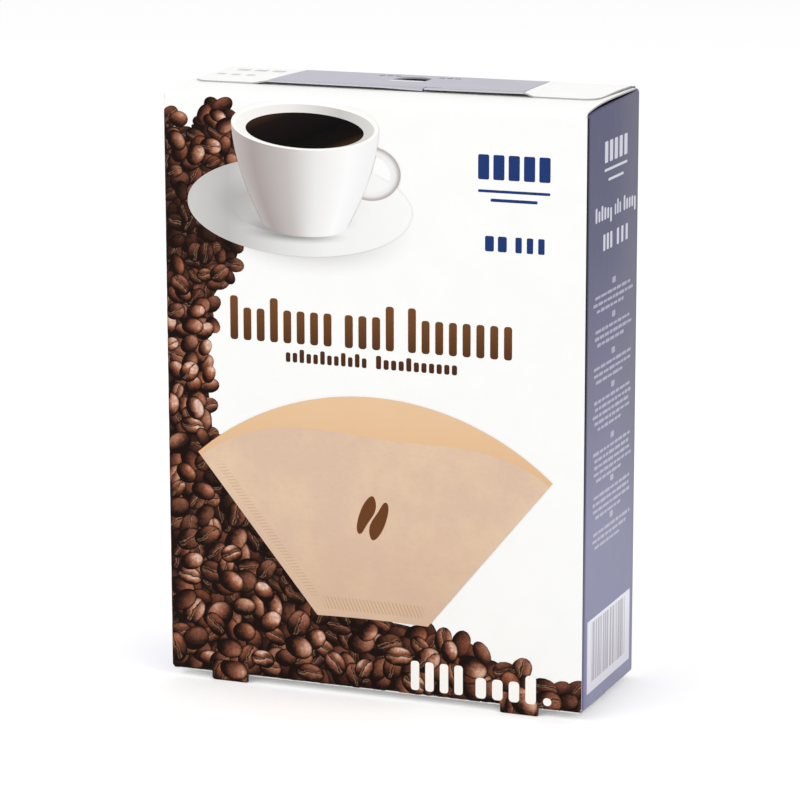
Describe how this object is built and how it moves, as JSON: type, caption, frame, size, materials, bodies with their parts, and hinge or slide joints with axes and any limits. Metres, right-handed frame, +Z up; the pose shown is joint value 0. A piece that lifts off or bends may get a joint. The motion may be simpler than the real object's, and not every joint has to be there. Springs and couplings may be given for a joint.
{
  "type": "coffee filter carton",
  "caption": "Closed upright paperboard carton for paper coffee filters, glued shut at both ends, with an overlapping top flap, a pushed-in thumb tab and two die-cut feet.",
  "frame": {"origin": "on the floor, under the middle of the carton", "axes": "+Z up, +Y from the front panel to the rear panel, +X to the right as seen from the front"},
  "size_m": [0.1314, 0.0478, 0.1809],
  "materials": {
    "printed_board": "satin coated white board, printed"
  },
  "bodies": {
    "root": {"filter_carton": "printed_board"}
  },
  "joints": []
}
